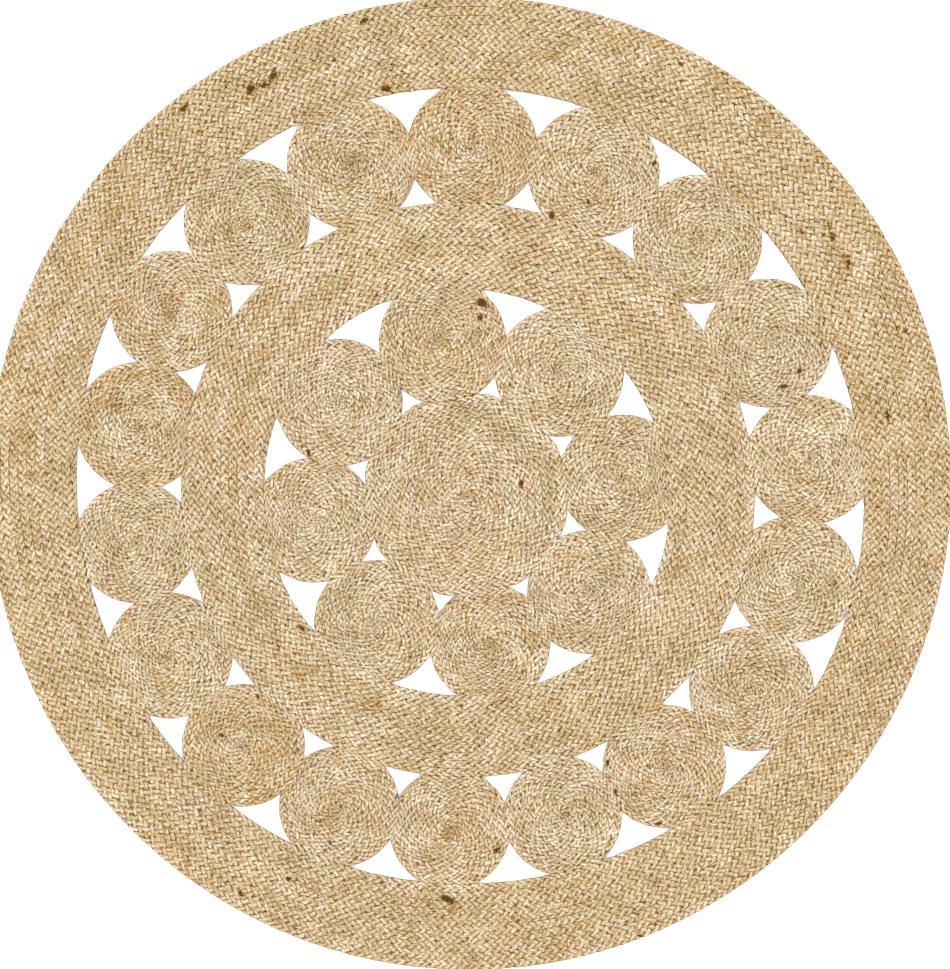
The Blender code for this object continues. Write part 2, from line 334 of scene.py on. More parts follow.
# The painted shade in the seams between rows, by the distance from them as a share of half the row, is
# seen only in places.
SEAM_SHADE_RAMP = Ramp(0.17, 0.02)
SEEN_NOISE = Noise(16.0, 2.0, 0.5)
SEEN_RAMP = Ramp(0.42, 0.64, 0.15, 0.8)
SUNK_SHADE_RAMP = Ramp(0.0060, 0.0042)  # the heights between which a strand darkens into painted shade
BUMP_FIBRES = 0.3
BUMP_STRENGTH = 0.8
BUMP_DEPTH = 0.0010
JUTE_ROUGHNESS = 0.82
JUTE_SPECULAR = 0.08
# The yarn's streaks and fine fibres: their noise's scale round the yarn, its change along
# the yarn per metre, its detail and roughness, and the turns of the yarn's twist per metre.
FIBRE_INPUTS = (("Coarseness", 2.4), ("Fineness", 9.0), ("Twist", 25.0))
FIBRE_OUTPUTS = ("Streaks", "Fibres", "Crest")
STREAK_STRETCH = 110.0
FIBRE_STRETCH = 9.0
FIBRE_NOISE = (2.0, 0.6)
WEB_NOISE = Noise(900.0, 2.0, 0.6)
WEB_RAMP = Ramp(0.45, 0.75)
PLAIN_ROUGHNESS = 0.9


# ---------------------------------------- the plan


def edge_radius(edge, angle):
    """Distance of a ring's edge from the rug's middle, in the given directions."""
    radius = np.full_like(angle, edge.radius)
    for wave in edge.waves:
        radius += wave.swing_mm * MM * np.cos(wave.count * (angle - math.radians(wave.peak_deg)))
    return radius


def coil_centre(coil):
    """A coil's middle in the plan."""
    angle = math.radians(coil.direction_deg)
    return np.array((math.cos(angle), math.sin(angle))) * coil.distance_mm * MM


def reach_to_edge(centre, angle, edge, side, furthest):
    """How far a coil can reach in each direction before it meets a ring's edge.

    The side is 1 for a coil inside the edge and -1 for one outside it.
    """
    low = np.zeros_like(angle)
    high = np.full_like(angle, furthest)
    for _ in range(BISECTIONS):
        middle = (low + high) / 2
        x = centre[0] + middle * np.cos(angle)
        y = centre[1] + middle * np.sin(angle)
        clear = side * (edge_radius(edge, np.arctan2(y, x)) - np.hypot(x, y)) >= SEAM_GAP
        low = np.where(clear, middle, low)
        high = np.where(clear, high, middle)
    return low


def coil_outline(coil, neighbours, inside_of, outside_of):
    """A function from directions to the coil's own reach, pressed flat by what it meets."""
    angle = np.linspace(0, TAU, OUTLINE_STEPS, endpoint=False)
    centre = coil_centre(coil)
    own_reach = coil.radius_mm * MM
    lengths = [np.full_like(angle, own_reach)]
    for other in neighbours:
        away = coil_centre(other) - centre
        share = coil.radius_mm / (coil.radius_mm + other.radius_mm)
        facing = np.cos(angle - math.atan2(away[1], away[0]))
        distance = math.hypot(*away) * share - SEAM_GAP / 2
        length = distance / np.maximum(facing, LEAST_FACING)
        lengths.append(np.where(facing > LEAST_FACING, length, np.inf))
    if inside_of:
        lengths.append(reach_to_edge(centre, angle, inside_of, 1, 2 * own_reach))
    if outside_of:
        lengths.append(reach_to_edge(centre, angle, outside_of, -1, 2 * own_reach))
    least = np.min(lengths, axis=0)
    share = np.sum(np.exp((least - lengths) / CORNER_SOFTNESS), axis=0)
    reach = least - CORNER_SOFTNESS * np.log(share)
    return lambda direction: np.interp(direction, angle, reach, period=TAU)


def smooth_step(share):
    """0 to 1, eased at both ends."""
    share = np.clip(share, 0.0, 1.0)
    return share * share * (3 - 2 * share)


def coil_seam(coil, turns, outline):
    """Distance of the seam on the inner side of the braid from a coil's middle, by turn."""
    row_width = coil.radius_mm * MM / turns
    end_angle = math.radians(coil.direction_deg) + math.pi

    def seam_reach(turn):
        edge = outline(end_angle - turn * TAU)
        whole = np.floor(turn)
        step = 1 + (COIL_STEP - 1) * whole / (turns - 1)
        rows = whole + smooth_step((turn - whole - 1 + step) / step)
        rows = np.where(turn < 1, CENTRE_START + turn * (1 - CENTRE_START), rows)
        pressed = edge / (row_width * turns) - 1
        inner = row_width * rows * (1 + pressed * rows / turns)
        return np.where(turn >= turns, edge, inner)

    return seam_reach, end_angle


def ring_seam(inside, outside, start_deg):
    """The same for a ring: rounds of braid that all step out by one row near start_deg."""
    start_angle = math.radians(start_deg)
    last_turn = RING_ROUNDS + RING_STEP

    def seam_reach(turn):
        angle = start_angle - turn * TAU
        inner = edge_radius(inside, angle)
        outer = edge_radius(outside, angle)
        whole = np.floor(turn - 1)
        rows = whole + smooth_step((turn - 1 - whole) / RING_STEP)
        rows = np.where(turn <= 1, 0, rows)
        rows = np.where(turn >= last_turn, RING_ROUNDS, rows)
        return inner + (outer - inner) * rows / RING_ROUNDS

    return seam_reach, start_angle, last_turn


# ---------------------------------------- the braid

# The middle line of a braid, point by point: its run in metres, the point, the outward
# normal, half the row's width, the room on either side, the count of plaiting cycles so
# far, and how warm and how pale the yarn is there.
Path = namedtuple("Path", "run point across half_width room_in room_out cycles warmth paleness")

# How a braid is plaited: the strands' swing and plumpness, how far its rows lean, how pale
# the jute is, and its tint, from -1 for cool to 1 for brown.
Form = namedtuple("Form", "swing plumpness lean paleness tint")


def ring_form(braid, lean, paleness):
    """The form of a ring's braid."""
    return Form(braid.ring_swing, braid.ring_plumpness, lean, paleness, 0)


def coil_form(braid, node):
    """The form of a coil's braid, with the coil's own tint."""
    tint = (node in BROWN_COILS) - (node in PALE_COILS)
    return Form(braid.coil_swing, braid.coil_plumpness, braid.coil_lean, COIL_PALENESS, tint)


def braid_path(centre, seam_reach, start_angle, first_turn, last_turn, rims, lump_length, tight, rng):
    """The middle line of a braid that is wound between two turns, as a Path.

    The rims are two functions from directions to reaches, and the first is None in a coil. The
    outermost rows draw in from them, and the room on either side reaches to them. The count
    of plaiting cycles comes from the lump length, which drifts, and is shorter in the first
    turns of a coil.
    """
    count = round((last_turn - first_turn) * PATH_STEPS)
    turn = np.linspace(first_turn, last_turn, count)
    angle = start_angle - turn * TAU
    inner_rim, outer_rim = (rim(angle) if rim else -np.inf for rim in rims)
    inner = np.maximum(seam_reach(turn) - LAP, inner_rim + RIM_INSET)
    outer = np.minimum(seam_reach(turn + 1) + LAP, outer_rim - RIM_INSET)
    outward = np.stack((np.cos(angle), np.sin(angle)), axis=1)
    middle = (inner + outer) / 2
    half_width = (outer - inner) / 2
    room_in = np.minimum(middle - inner_rim - RIM_INSET, WIDEST_ROOM)
    room_out = np.minimum(outer_rim - RIM_INSET - middle, WIDEST_ROOM)

    point = centre + outward * middle[:, None]
    travel = np.gradient(point, axis=0)
    length = np.hypot(travel[:, 0], travel[:, 1])
    across = np.stack((-travel[:, 1], travel[:, 0]), axis=1) / length[:, None]
    run = np.concatenate(([0], np.cumsum(np.hypot(*np.diff(point, axis=0).T))))

    shrunk = 1 - tight * (1 - smooth_step((turn - first_turn) / TIGHT_TURNS))
    drift = 1 + SPACING_DRIFT * wander(rng, run, SPACING_RUN)
    spacing = STRANDS * lump_length * shrunk * drift
    cycles = np.concatenate(([0], np.cumsum(np.diff(run) / spacing[1:])))

    warm_middle = MIDDLE_WARMTH * tight / TIGHTNESS * (MIDDLE_WARM_TURN - turn)
    warm_end = END_WARMTH * (turn - last_turn + 1)
    warmth = np.maximum(np.maximum(warm_middle, warm_end), 0)
    warmth = warmth + HUE_DRIFT * wander(rng, run, YARN_RUN)
    paleness = TONE_DRIFT * wander(rng, run, YARN_RUN)
    return Path(run, point, across, half_width, room_in, room_out, cycles, warmth, paleness)


def by_lump(rng, lump, count):
    """A random number for each lump, held along its top and blended where it dips under."""
    values = rng.normal(size=count)
    whole = np.floor(lump).astype(int)
    blend = smooth_step((lump - whole - LUMP_HELD) / (1 - LUMP_HELD))
    return values[whole] * (1 - blend) + values[whole + 1] * blend


def wander(rng, run, spacing):
    """A random number that drifts along the run."""
    knots = np.arange(run.min() - spacing, run.max() + 2 * spacing, spacing)
    return np.interp(run, knots, rng.normal(size=len(knots)))


def fleck_share(points):
    """How much each of the points lies in one of the flecks or spots."""
    share = np.zeros(points.shape[:-1])
    for fleck in FLECKS + SPOTS:
        x = points[..., 0] - fleck.x_mm * MM
        y = points[..., 1] - fleck.y_mm * MM
        turn = math.radians(fleck.turn_deg)
        along = (x * math.cos(turn) + y * math.sin(turn)) / (fleck.long_mm * MM)
        aside = (y * math.cos(turn) - x * math.sin(turn)) / (fleck.wide_mm * MM)
        own = np.maximum(1 - np.hypot(along, aside) / FLECK_SPREAD, 0)
        share = np.maximum(share, np.minimum(own, SPOT_SHARE) if fleck in SPOTS else own)
    return share


def strand_rings(path, number, braid, form, flow, rng):
    """One strand of the braid: ring points, each ring's run and each point's tones.

    The flow is 1 or -1, the way in which the plait's chevrons point. What would stand out
    past a rim is pressed back towards it.
    """
    cycles = path.cycles[-1]
    total = path.run[-1]
    shift = number * TAU / STRANDS
    half_cycles = np.arange(-1, 2 * math.ceil(cycles + 1) + 2)[:, None]
    lay = (half_cycles * math.pi + RING_PHASES).ravel()
    lay = lay[(lay >= shift) & (lay <= shift + cycles * TAU)]
    done = (lay - shift) / TAU
    run = np.interp(done if flow > 0 else cycles - done, path.cycles, path.run)
    lumps = int(2 * cycles) + SPARE_LUMPS
    lump = (lay + LUMP_START * math.pi) / math.pi

    def vary(amount):
        return amount * braid.unevenness * by_lump(rng, lump, lumps)

    run = np.clip(run + vary(ALONG_VARIES), 0, total)

    def here(values):
        return np.interp(run, path.run, values)

    half = here(path.half_width)
    full = np.clip(half / path.half_width.max(), 0, 1)
    rise = LEAST_RISE + (1 - LEAST_RISE) * full
    across = np.stack([here(path.across[:, i]) for i in (0, 1)], axis=1)
    middle = np.stack([here(path.point[:, i]) for i in (0, 1)], axis=1)

    # The strand's own middle line swings from side to side, and lies on top twice a cycle.
    zigzag = np.arcsin(STRAIGHTNESS * np.sin(lay)) / math.asin(STRAIGHTNESS)
    side = half * (form.swing * zigzag + vary(ACROSS_VARIES))
    centre = middle + across * side[:, None]
    wave = -np.sin(2 * lay)
    proud = 1 + flow * form.lean * np.sin(lay)
    full_wave = wave * (WAVE_FULLNESS - (WAVE_FULLNESS - 1) * wave**2)
    lifted = full_wave * proud + vary(HEIGHT_VARIES)
    height = braid.height / 2 + braid.lift * rise * lifted

    # Its rings of points stand across it, wide and low on top and narrower where it dips.
    travel = np.gradient(centre, axis=0)
    travel = travel / np.hypot(travel[:, 0], travel[:, 1])[:, None]
    sideways = np.stack((-travel[:, 1], travel[:, 0]), axis=1)
    turning = np.abs(np.sin(lay)) ** TURN_SHARPNESS
    wide = half * form.plumpness * (1 - braid.pinch * turning) * (1 + vary(WIDTH_VARIES))
    deep = (braid.height / 2 - braid.lift) * rise * (1 + vary(DEPTH_VARIES))
    over = (1 + wave) / 2
    section = SECTION_UNDER + (SECTION_OVER - SECTION_UNDER) * over[:, None, None]
    roll = vary(ROLL_VARIES)[:, None] * section[:, :, 0]
    flat = centre[:, None, :] + sideways[:, None, :] * (section[:, :, 0] * wide[:, None])[:, :, None]
    level = height[:, None] + (section[:, :, 1] + roll) * deep[:, None]

    place = np.einsum("rpi,ri->rp", flat - middle[:, None, :], across)
    room_in = here(path.room_in)[:, None]
    room_out = here(path.room_out)[:, None]
    kept = np.clip(place, -room_in, room_out)
    kept += RIM_GIVE * (place - kept)
    flat += across[:, None, :] * (kept - place)[:, :, None]
    points = np.concatenate((flat, np.maximum(level, LEAST_HEIGHT)[:, :, None]), axis=2)

    tone = vary(TONE_VARIES) + TONE_WANDERS * wander(rng, run, TONE_RUN)
    tone += here(path.paleness) + form.paleness - TINT_DARKENS * form.tint
    second = vary(SECOND_VARIES) + SECOND_WANDERS * wander(rng, run, SECOND_RUN)
    second += here(path.warmth) + TINT_WARMS * form.tint
    at_rim = np.where(kept > 0, room_out, room_in) < RIM_ROOM * half[:, None]
    row = kept / (half - LAP)[:, None] * np.where(at_rim, RIM_ROW, 1.0)
    by_ring = [np.broadcast_to(values[:, None], row.shape) for values in (tone, second)]
    return points, done * total / cycles, np.stack([*by_ring, fleck_share(flat), row])


def new_object(name, mesh, material):
    """An object at the origin that shows the mesh."""
    mesh.materials.append(material)
    piece = bpy.data.objects.new(name, mesh)
    bpy.context.scene.collection.objects.link(piece)
    return piece


def joined_tubes(name, tubes, material):
    """One mesh of many closed tubes, with a UV map along and around each, and their tones."""
    points, faces, uvs, tones = [], [], [], []
    first = 0
    offset = 0.0
    for rings, run, own_tones in tubes:
        count, sides = rings.shape[:2]
        points.append(rings.reshape(-1, 3))
        tones.append(own_tones.reshape(len(TONES), -1))
        ring = first + np.arange(count - 1)[:, None] * sides
        j = np.arange(sides)
        k = (j + 1) % sides
        quads = np.stack((ring + j, ring + k, ring + sides + k, ring + sides + j), axis=2)
        faces += quads.reshape(-1, 4).tolist()
        along = run + offset
        low = np.broadcast_to(along[:-1, None], (count - 1, sides))
        high = np.broadcast_to(along[1:, None], low.shape)
        left = np.broadcast_to(j / sides, low.shape)
        right = left + 1 / sides
        uv = np.stack((low, left, low, right, high, right, high, left), axis=2)
        uvs.append(uv.reshape(-1, 2))
        last = first + (count - 1) * sides
        faces.append([first + int(i) for i in j[::-1]])
        faces.append([last + int(i) for i in j])
        uvs.append(np.stack((np.full(sides, along[0]), j[::-1] / sides), axis=1))
        uvs.append(np.stack((np.full(sides, along[-1]), j / sides), axis=1))
        first += count * sides
        offset += run.max() + 1.0
    mesh = bpy.data.meshes.new(name)
    mesh.from_pydata(np.concatenate(points).tolist(), [], faces)
    layer = mesh.uv_layers.new(name="lay")
    layer.data.foreach_set("uv", np.concatenate(uvs).astype(np.float32).ravel())
    for label, values in zip(TONES, np.concatenate(tones, axis=1), strict=True):
        attribute = mesh.attributes.new(label, "FLOAT", "POINT")
        attribute.data.foreach_set("value", values.astype(np.float32))
    mesh.shade_smooth()
    return new_object(name, mesh, material)


def finish_mesh(bm, name, material):
    """An object made from a bmesh, which is freed."""
    mesh = bpy.data.meshes.new(name)
    bm.to_mesh(mesh)
    bm.free()
    return new_object(name, mesh, material)


def web_piece(name, nodes, centre, rims, facets):
    """The thin sewn web inside a coil or a ring, closed, a little in from its rims, dark with painted
    shade.

    The rims are given in the same way as those of a path.
    """
    bm = bmesh.new()
    for reach, inset in zip(rims, (WEB_INSET, -WEB_INSET), strict=True):
        if reach is None:
            continue
        made = bmesh.ops.create_circle(bm, segments=facets, radius=1.0, cap_ends=rims[0] is None)
        for vert in made["verts"]:
            angle = math.atan2(vert.co.y, vert.co.x)
            far = float(reach(np.array([angle]))[0]) + inset
            vert.co = (centre[0] + far * math.cos(angle), centre[1] + far * math.sin(angle), WEB_LOW)
    if rims[0] is not None:
        bmesh.ops.bridge_loops(bm, edges=bm.edges[:])
    raised = bmesh.ops.extrude_face_region(bm, geom=bm.faces[:])
    verts = [item for item in raised["geom"] if isinstance(item, bmesh.types.BMVert)]
    bmesh.ops.translate(bm, verts=verts, vec=(0, 0, WEB_THICK))
    bmesh.ops.recalc_face_normals(bm, faces=bm.faces[:])
    web = finish_mesh(bm, name, web_shade_material())
    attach(web, BODY)
    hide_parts(*nodes)


def braid_piece(name, nodes, path, form, flow, rng):
    """The three strands of one length of braid, as one piece."""
    braid = bpy.context.scene.rug_braid
    tubes = [strand_rings(path, number, braid, form, flow, rng) for number in range(STRANDS)]
    piece = joined_tubes(name, tubes, jute_material())
    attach(piece, BODY)
    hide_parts(*nodes)
    return piece


# ---------------------------------------- materials


def new_material(name):
    """A material with its tree and shader, the last two None if it was made before."""
    material = bpy.data.materials.get(name)
    if material:
        return material, None, None
    material = bpy.data.materials.new(name)
    material.use_nodes = True
    tree = material.node_tree
    return material, tree, tree.nodes["Principled BSDF"]


def add(tree, kind, inputs=(), **settings):
    """A node with its settings, and its inputs given as (socket, value or output) pairs."""
    node = tree.nodes.new(kind)
    for key, value in settings.items():
        setattr(node, key, value)
    for key, value in inputs:
        socket = node.inputs[key]
        if isinstance(value, bpy.types.NodeSocket):
            tree.links.new(value, socket)
        else:
            socket.default_value = value
    return node


def maths(tree, operation, *values):
    """One step of arithmetic."""
    return add(tree, "ShaderNodeMath", list(enumerate(values)), operation=operation).outputs[0]


def mix_colour(tree, share, first, second, blend="MIX"):
    """A share of the second colour over the first one."""
    pairs = [(0, share), (6, first), (7, second)]
    return add(tree, "ShaderNodeMix", pairs, data_type="RGBA", blend_type=blend).outputs[2]


def ease(tree, value, ramp):
    """The share that a Ramp makes of a value."""
    ends = ("From Min", "From Max", "To Min", "To Max")
    pairs = [("Value", value), *zip(ends, ramp, strict=True)]
    return add(tree, "ShaderNodeMapRange", pairs, interpolation_type="SMOOTHSTEP").outputs[0]


def noise(tree, vector, pattern):
    """A noise texture, from about 0 to 1."""
    ends = ("Scale", "Detail", "Roughness")
    pairs = [("Vector", vector), *zip(ends, pattern, strict=True)]
    return add(tree, "ShaderNodeTexNoise", pairs).outputs["Fac"]


def fibre_group():
    """Fine fibres that run along a strand and twist round it."""
    group = bpy.data.node_groups.get("Jute fibres")
    if group:
        return group
    group = bpy.data.node_groups.new("Jute fibres", "ShaderNodeTree")
    group.interface.new_socket("Lay", in_out="INPUT", socket_type="NodeSocketVector")
    for label, value in FIBRE_INPUTS:
        socket = group.interface.new_socket(label, in_out="INPUT", socket_type="NodeSocketFloat")
        socket.default_value = value
    for label in FIBRE_OUTPUTS:
        group.interface.new_socket(label, in_out="OUTPUT", socket_type="NodeSocketFloat")
    given = group.nodes.new("NodeGroupInput").outputs
    target = group.nodes.new("NodeGroupOutput")
    lay = add(group, "ShaderNodeSeparateXYZ", [(0, given["Lay"])]).outputs
    turned = maths(group, "MULTIPLY_ADD", lay["X"], given["Twist"], lay["Y"])
    angle = maths(group, "MULTIPLY", turned, TAU)
    across = [("X", maths(group, "COSINE", angle)), ("Y", maths(group, "SINE", angle))]
    for label, scale, stretch in (
        ("Streaks", given["Coarseness"], STREAK_STRETCH),
        ("Fibres", given["Fineness"], FIBRE_STRETCH),
    ):
        along = maths(group, "MULTIPLY", lay["X"], stretch)
        vector = add(group, "ShaderNodeCombineXYZ", [*across, ("Z", along)]).outputs[0]
        group.links.new(noise(group, vector, Noise(scale, *FIBRE_NOISE)), target.inputs[label])
    crest = maths(group, "COSINE", maths(group, "MULTIPLY", lay["Y"], TAU))
    group.links.new(crest, target.inputs["Crest"])
    return group


# What the jute's colours are made from at a point: its place, what the strands carry, and
# the streaks, the fine fibres and the crest of the yarn.
Yarn = namedtuple("Yarn", "place tone second_tone fleck row streaks fibres crest")


def yarn_values(tree):
    """The Yarn of a material."""
    lay = add(tree, "ShaderNodeUVMap", uv_map="lay").outputs[0]
    place = add(tree, "ShaderNodeTexCoord").outputs["Object"]
    carried = [add(tree, "ShaderNodeAttribute", attribute_name=label).outputs["Fac"] for label in TONES]
    group = add(tree, "ShaderNodeGroup", [("Lay", lay)], node_tree=fibre_group())
    return Yarn(place, *carried, *(group.outputs[label] for label in FIBRE_OUTPUTS))


def jute_hues(tree, colours, yarn):
    """The yarn's own colour, from straw to pale, with its grey, pink and honey patches."""
    share = ease(tree, yarn.tone, TONE_RAMP)
    colour = mix_colour(tree, share, colours.straw, colours.pale)
    broad = noise(tree, yarn.place, BROAD_NOISE)
    for patch in PATCHES:
        shift = (patch.shift, patch.shift, 0)
        shifted = add(tree, "ShaderNodeVectorMath", [(0, yarn.place), (1, shift)]).outputs[0]
        own = noise(tree, shifted, PATCH_NOISE)
        own = maths(tree, "MULTIPLY_ADD", broad, patch.with_broad, own)
        own = maths(tree, "MULTIPLY_ADD", yarn.second_tone, patch.with_tone, own)
        middle = patch.with_broad / 2
        share = ease(tree, own, Ramp(PATCH_FROM + middle, PATCH_TO + middle, 0.0, patch.most))
        colour = mix_colour(tree, share, colour, getattr(colours, patch.hue))
    return colour


def jute_stains(tree, colours, yarn, colour):
    """Brown stains and small brown knots."""
    stains = noise(tree, yarn.place, STAIN_NOISE)
    stains = maths(tree, "MULTIPLY_ADD", yarn.second_tone, STAIN_WITH_TONE, stains)
    knots = ease(tree, noise(tree, yarn.place, KNOT_NOISE), KNOT_RAMP)
    share = maths(tree, "MAXIMUM", ease(tree, stains, STAIN_RAMP), knots)
    return mix_colour(tree, share, colour, colours.stain_and_shoulder_shade)


def jute_fibres_and_glints(tree, colours, yarn, colour):
    """The light and the dark of the fibres, partly painted highlight: the speckle and the bright end add
    painted glints.
    """
    glint_speckle = noise(tree, yarn.place, GLINT_SPECKLE_NOISE)
    cloud = noise(tree, yarn.place, CLOUD_NOISE)
    shade = maths(tree, "MULTIPLY_ADD", glint_speckle, GLINT_SPECKLE_SHARE, yarn.streaks)
    shade = maths(tree, "MULTIPLY_ADD", yarn.fibres, FIBRE_SHARE, shade)
    shade = maths(tree, "MULTIPLY_ADD", cloud, CLOUD_SHARE, shade)
    share = ease(tree, shade, SHADE_RAMP)
    tint = mix_colour(tree, share, colours.dusk, colours.bright_fibre_and_glint)
    return mix_colour(tree, 1.0, colour, tint, "MULTIPLY")


def jute_flecks(tree, colours, yarn, colour):
    """The dark flecks with brown round them, and small dark knots."""
    ragged = noise(tree, yarn.place, RAGGED_NOISE)
    ragged = maths(tree, "MULTIPLY_ADD", ragged, RAGGED_GAIN, -RAGGED_GAIN / 2)
    halo = maths(tree, "MULTIPLY_ADD", ragged, HALO_RAGGED, yarn.fleck)
    colour = mix_colour(tree, ease(tree, halo, HALO_RAMP), colour, colours.stain_and_shoulder_shade)
    flecks = maths(tree, "MULTIPLY_ADD", yarn.fleck, FLECK_GAIN, ragged)
    flecks = maths(tree, "SUBTRACT", flecks, yarn.streaks)
    knots = ease(tree, noise(tree, yarn.place, DARK_KNOT_NOISE), DARK_KNOT_RAMP)
    share = maths(tree, "MAXIMUM", ease(tree, flecks, FLECK_RAMP), knots)
    return mix_colour(tree, share, colour, colours.fleck)


def jute_side_shade(tree, colours, yarn, colour):
    """Painted shade on a strand: brown on its shoulders and darker on its sides, heavier in some places
    than in others.
    """
    side = maths(tree, "MULTIPLY_ADD", yarn.streaks, SIDE_WITH_STREAKS, yarn.crest)
    shoulder_shade = maths(tree, "MULTIPLY", ease(tree, side, SHOULDER_SHADE_RAMP), SHOULDER_SHADE_SHARE)
    colour = mix_colour(tree, shoulder_shade, colour, colours.stain_and_shoulder_shade)
    side_shade_patches = ease(tree, noise(tree, yarn.place, SIDE_SHADE_PATCH_NOISE), SIDE_SHADE_PATCH_RAMP)
    share = maths(tree, "MULTIPLY", ease(tree, side, SIDE_SHADE_RAMP), side_shade_patches)
    return mix_colour(tree, share, colour, colours.edge)


def jute_seam_and_crevice_shade(tree, colours, yarn, colour):
    """Painted shade in the seams between rows, and painted shade deep between the strands, darker the
    lower a point lies.
    """
    beside = maths(tree, "SUBTRACT", maths(tree, "ABSOLUTE", yarn.row), 1.0)
    beside = maths(tree, "ABSOLUTE", beside)
    seen = ease(tree, noise(tree, yarn.place, SEEN_NOISE), SEEN_RAMP)
    share = maths(tree, "MULTIPLY", ease(tree, beside, SEAM_SHADE_RAMP), seen)
    colour = mix_colour(tree, share, colour, colours.edge)
    level = add(tree, "ShaderNodeSeparateXYZ", [(0, yarn.place)]).outputs["Z"]
    return mix_colour(tree, ease(tree, level, SUNK_SHADE_RAMP), colour, colours.crevice_shade)


def jute_material():
    """Dry jute yarn: pale straw, each lump a little different, honey and grey in patches, with painted
    shade on the strands' sides, in the seams and deep between them, and painted glints.
    """
    material, tree, shader = new_material("jute yarn")
    if tree is None:
        return material
    colours = bpy.context.scene.rug_colours
    yarn = yarn_values(tree)
    colour = jute_hues(tree, colours, yarn)
    for layer in (jute_stains, jute_fibres_and_glints, jute_flecks, jute_side_shade, jute_seam_and_crevice_shade):
        colour = layer(tree, colours, yarn, colour)
    tree.links.new(colour, shader.inputs["Base Color"])
    relief = maths(tree, "MULTIPLY_ADD", yarn.fibres, BUMP_FIBRES, yarn.streaks)
    pairs = [("Height", relief), ("Strength", BUMP_STRENGTH), ("Distance", BUMP_DEPTH)]
    tree.links.new(add(tree, "ShaderNodeBump", pairs).outputs[0], shader.inputs["Normal"])
    shader.inputs["Roughness"].default_value = JUTE_ROUGHNESS
    shader.inputs["Specular IOR Level"].default_value = JUTE_SPECULAR
    return material


def web_shade_material():
    """The web in painted shade, the crevice colour, with a little straw in it."""
    material, tree, shader = new_material("sewn web in painted shade")
    if tree is None:
        return material
    colours = bpy.context.scene.rug_colours
    place = add(tree, "ShaderNodeTexCoord").outputs["Object"]
    share = ease(tree, noise(tree, place, WEB_NOISE), WEB_RAMP)
    colour = mix_colour(tree, share, colours.crevice_shade, colours.straw)
    tree.links.new(colour, shader.inputs["Base Color"])
    shader.inputs["Roughness"].default_value = PLAIN_ROUGHNESS
    return material


def floor_material():
    """A plain pale floor that glows a little, so that it stays white in the openings."""
    material, tree, shader = new_material("floor")
    if tree is None:
        return material
    stage = bpy.context.scene.rug_stage
    shader.inputs["Base Color"].default_value = (*stage.floor_colour, 1.0)
    shader.inputs["Roughness"].default_value = PLAIN_ROUGHNESS
    shader.inputs["Emission Color"].default_value = (1.0, 1.0, 1.0, 1.0)
    shader.inputs["Emission Strength"].default_value = stage.floor_glow
    return material


# ---------------------------------------- settings


def metres(name, description, default):
    """A setting in metres."""
    return bpy.props.FloatProperty(name=name, description=description, default=default, unit="LENGTH")


def factor(name, description, default):
    """A setting that is a share of something."""
    return bpy.props.FloatProperty(name=name, description=description, default=default, subtype="FACTOR")


def brightness(name, description, default):
    """A setting of a light."""
    return bpy.props.FloatProperty(name=name, description=description, default=default, min=0.0)


def swatch(name, description, default):
    """A setting of a colour, which may be brighter than white where it multiplies."""
    return bpy.props.FloatVectorProperty(
        name=name,
        description=description,
        default=default,
        size=len(default),
        subtype="COLOR",
        min=0.0,
        max=2.0,
    )


class RugBraid(bpy.types.PropertyGroup):
    """Sizes of the braid."""

    height: metres("Height", "Thickness of the braid", 0.0078)
    lift: metres("Lift", "How far a strand rises and dips from the braid's mid height", 0.0010)
    ring_swing: factor("Ring swing", "How far a strand swings out in the rings, of half the row", 0.95)
    coil_swing: factor("Coil swing", "The same in the coils", 0.90)
    ring_plumpness: factor("Ring plumpness", "A strand's half width in the rings, of half the row", 0.61)
    coil_plumpness: factor("Coil plumpness", "The same in the coils", 0.59)
    outer_lean: factor("Outer ring lean", "How much prouder one half of a row in the outer ring is", -0.10)
    middle_lean: factor("Middle ring lean", "The same in the middle ring", -0.30)
    coil_lean: factor("Coil lean", "The same in the coils", -0.12)
    pinch: factor("Pinch", "How much narrower a strand is where it turns at the row's edge", 0.02)
    unevenness: factor("Unevenness", "How irregular the hand plaiting is", 0.90)
    outer_lump: metres("Outer ring lump", "Spacing of the lumps along the outer ring's braid", 0.0099)
    middle_lump: metres("Middle ring lump", "Spacing of the lumps along the middle ring's braid", 0.0107)
    coil_lump: metres("Coil lump", "Spacing of the lumps along the coils' braid", 0.0104)


class RugColours(bpy.types.PropertyGroup):
    """Colours of the jute."""

    pale: swatch("Pale", "The lightest strands", (0.785, 0.70, 0.535, 1.0))
    straw: swatch("Straw", "The common straw colour", (0.66, 0.55, 0.352, 1.0))
    honey: swatch("Honey", "Warm patches", (0.63, 0.445, 0.215, 1.0))
    grey: swatch("Grey", "Greenish grey patches", (0.56, 0.49, 0.28, 1.0))
    pink: swatch("Pink", "Pinkish pale patches", (0.70, 0.56, 0.42, 1.0))
    # also gives the painted shade on a strand's shoulders
    stain_and_shoulder_shade: swatch("Stain", "Small brown patches", (0.46, 0.245, 0.06, 1.0))
    fleck: swatch("Fleck", "Sparse dark brown flecks", (0.055, 0.022, 0.004, 1.0))
    dusk: swatch("Dusk", "What the dark fibres take off the colour", (0.60, 0.505, 0.345, 1.0))
    # the bright end of the fibres' tone, partly painted glint and highlight
    bright_fibre_and_glint: swatch("Sheen", "What the bright fibres add to the colour", (1.165, 1.195, 1.275, 1.0))
    # painted shade on a strand's sides and in the seams between rows
    edge: swatch("Edge", "The sides of a strand", (0.12, 0.05, 0.0045, 1.0))
    # painted shade deep between the strands, and the web's dark colour
    crevice_shade: swatch("Crevice", "Deep between the strands", (0.075, 0.027, 0.002, 1.0))


